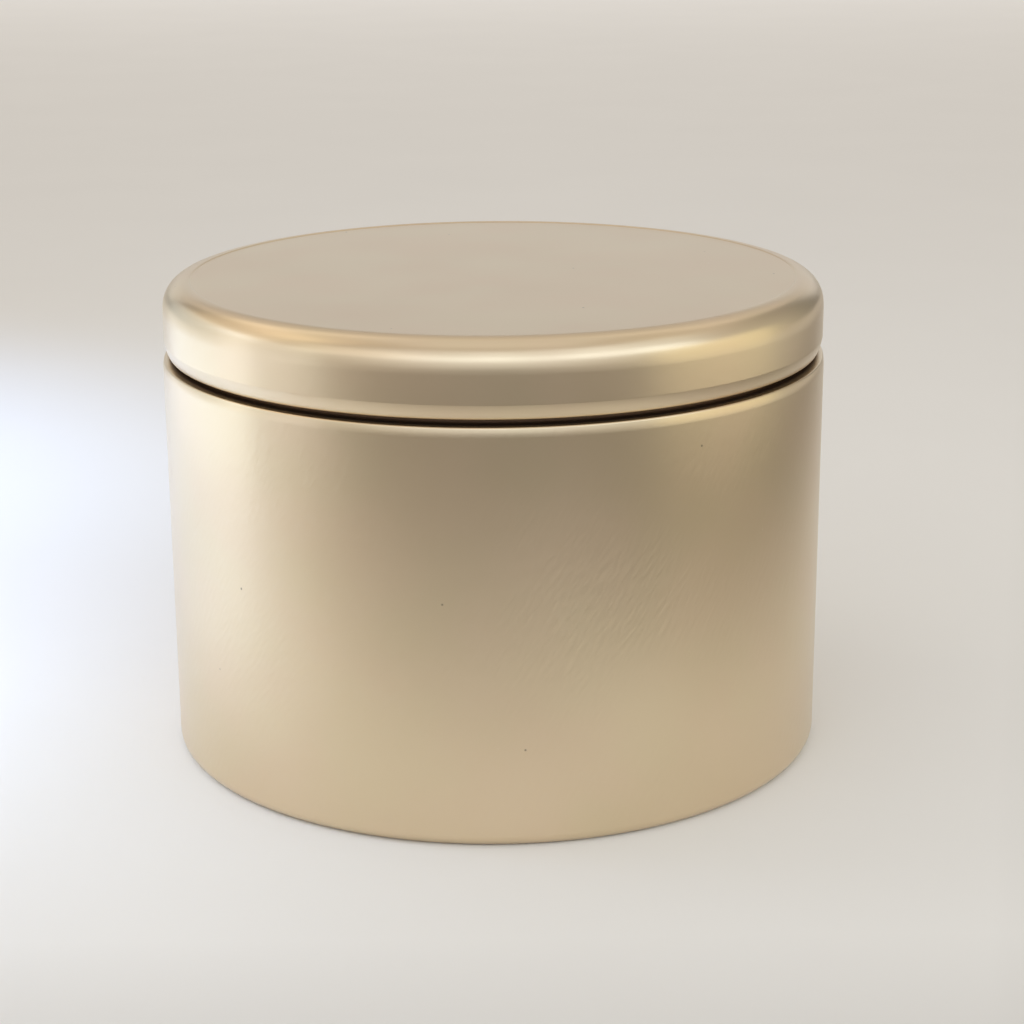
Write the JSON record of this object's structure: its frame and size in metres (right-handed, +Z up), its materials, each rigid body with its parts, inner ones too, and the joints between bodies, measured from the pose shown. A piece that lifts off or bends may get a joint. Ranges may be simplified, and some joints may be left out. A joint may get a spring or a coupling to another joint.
{
  "type": "round slip-lid tin",
  "caption": "Round drawn tinplate tin with a rounded, flat-topped slip lid that lifts straight off.",
  "frame": {"origin": "centre of the stand ring's underside, on the surface that the tin stands on", "axes": "+Z up along the tin's axis of revolution, from the base to the lid; X and Y are free because the tin is the same all round"},
  "size_m": [0.13, 0.13, 0.0936],
  "materials": {
    "champagne_lacquer": "satin champagne-gold lacquer on tinplate"
  },
  "bodies": {
    "tin": {"tin_body": "champagne_lacquer"},
    "cover": {"lid": "champagne_lacquer"}
  },
  "joints": [
    {"name": "lid_lift", "type": "slide", "parent": "tin", "child": "cover", "axis": [0, 0, 1], "range_m": [0, 0.06]}
  ]
}
